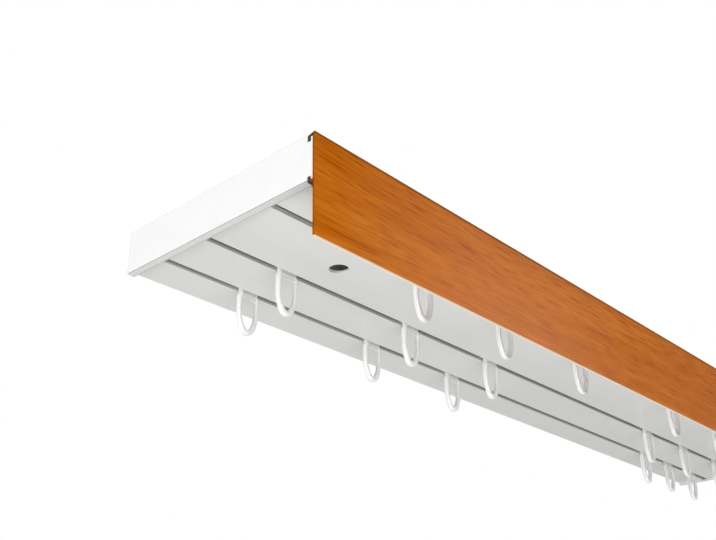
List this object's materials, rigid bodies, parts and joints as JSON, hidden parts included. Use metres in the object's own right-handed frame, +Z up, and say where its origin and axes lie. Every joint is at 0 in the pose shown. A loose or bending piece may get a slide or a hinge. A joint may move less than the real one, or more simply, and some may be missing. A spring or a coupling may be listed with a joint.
{
  "type": "curtain track",
  "caption": "Ceiling curtain track: hollow plastic profile with slots for loop gliders, a wood-look clip-on fascia strip and end caps.",
  "frame": {"origin": "ceiling face of the profile, midway between the two fixing screws", "axes": "+X along the track, to the right as seen from the fascia; -Y towards the fascia; +Z up to the ceiling"},
  "size_m": [0.603, 0.1291, 0.05],
  "materials": {
    "white_profile": "glossy extruded white plastic",
    "wood_decor": "printed cherry wood film on plastic, satin",
    "white_cap": "moulded white plastic",
    "glider_white": "slightly translucent white moulded plastic"
  },
  "bodies": {
    "track": {"track_profile": "white_profile", "fascia_strip": "wood_decor", "end_cap_left": "white_cap", "end_cap_right": "white_cap"},
    "glider_front_1": {"glider_front_1": "glider_white"},
    "glider_front_2": {"glider_front_2": "glider_white"},
    "glider_front_3": {"glider_front_3": "glider_white"},
    "glider_front_4": {"glider_front_4": "glider_white"},
    "glider_front_5": {"glider_front_5": "glider_white"},
    "glider_front_6": {"glider_front_6": "glider_white"},
    "glider_middle_1": {"glider_middle_1": "glider_white"},
    "glider_middle_2": {"glider_middle_2": "glider_white"},
    "glider_middle_3": {"glider_middle_3": "glider_white"},
    "glider_middle_4": {"glider_middle_4": "glider_white"},
    "glider_middle_5": {"glider_middle_5": "glider_white"},
    "glider_middle_6": {"glider_middle_6": "glider_white"},
    "glider_rear_1": {"glider_rear_1": "glider_white"},
    "glider_rear_2": {"glider_rear_2": "glider_white"},
    "glider_rear_3": {"glider_rear_3": "glider_white"},
    "glider_rear_4": {"glider_rear_4": "glider_white"},
    "glider_rear_5": {"glider_rear_5": "glider_white"},
    "glider_rear_6": {"glider_rear_6": "glider_white"}
  },
  "joints": [
    {"name": "glider_front_1_slide", "type": "slide", "parent": "track", "child": "glider_front_1", "axis": [1, 0, 0], "range_m": [-0.0963, 0.0574]},
    {"name": "glider_front_2_slide", "type": "slide", "parent": "track", "child": "glider_front_2", "axis": [1, 0, 0], "range_m": [-0.0574, 0.0666]},
    {"name": "glider_front_3_slide", "type": "slide", "parent": "track", "child": "glider_front_3", "axis": [1, 0, 0], "range_m": [-0.0666, 0.1093]},
    {"name": "glider_front_4_slide", "type": "slide", "parent": "track", "child": "glider_front_4", "axis": [1, 0, 0], "range_m": [-0.1093, 0.0576]},
    {"name": "glider_front_5_slide", "type": "slide", "parent": "track", "child": "glider_front_5", "axis": [1, 0, 0], "range_m": [-0.0576, 0.0666]},
    {"name": "glider_front_6_slide", "type": "slide", "parent": "track", "child": "glider_front_6", "axis": [1, 0, 0], "range_m": [-0.0666, 0.0598]},
    {"name": "glider_middle_1_slide", "type": "slide", "parent": "track", "child": "glider_middle_1", "axis": [1, 0, 0], "range_m": [-0.0439, 0.0819]},
    {"name": "glider_middle_2_slide", "type": "slide", "parent": "track", "child": "glider_middle_2", "axis": [1, 0, 0], "range_m": [-0.0819, 0.063]},
    {"name": "glider_middle_3_slide", "type": "slide", "parent": "track", "child": "glider_middle_3", "axis": [1, 0, 0], "range_m": [-0.063, 0.1908]},
    {"name": "glider_middle_4_slide", "type": "slide", "parent": "track", "child": "glider_middle_4", "axis": [1, 0, 0], "range_m": [-0.1908, 0.0466]},
    {"name": "glider_middle_5_slide", "type": "slide", "parent": "track", "child": "glider_middle_5", "axis": [1, 0, 0], "range_m": [-0.0466, 0.0466]},
    {"name": "glider_middle_6_slide", "type": "slide", "parent": "track", "child": "glider_middle_6", "axis": [1, 0, 0], "range_m": [-0.0466, 0.0408]},
    {"name": "glider_rear_1_slide", "type": "slide", "parent": "track", "child": "glider_rear_1", "axis": [1, 0, 0], "range_m": [-0.0461, 0.0822]},
    {"name": "glider_rear_2_slide", "type": "slide", "parent": "track", "child": "glider_rear_2", "axis": [1, 0, 0], "range_m": [-0.0822, 0.0627]},
    {"name": "glider_rear_3_slide", "type": "slide", "parent": "track", "child": "glider_rear_3", "axis": [1, 0, 0], "range_m": [-0.0627, 0.2436]},
    {"name": "glider_rear_4_slide", "type": "slide", "parent": "track", "child": "glider_rear_4", "axis": [1, 0, 0], "range_m": [-0.2436, 0.0276]},
    {"name": "glider_rear_5_slide", "type": "slide", "parent": "track", "child": "glider_rear_5", "axis": [1, 0, 0], "range_m": [-0.0276, 0.0296]},
    {"name": "glider_rear_6_slide", "type": "slide", "parent": "track", "child": "glider_rear_6", "axis": [1, 0, 0], "range_m": [-0.0296, 0.0218]}
  ]
}
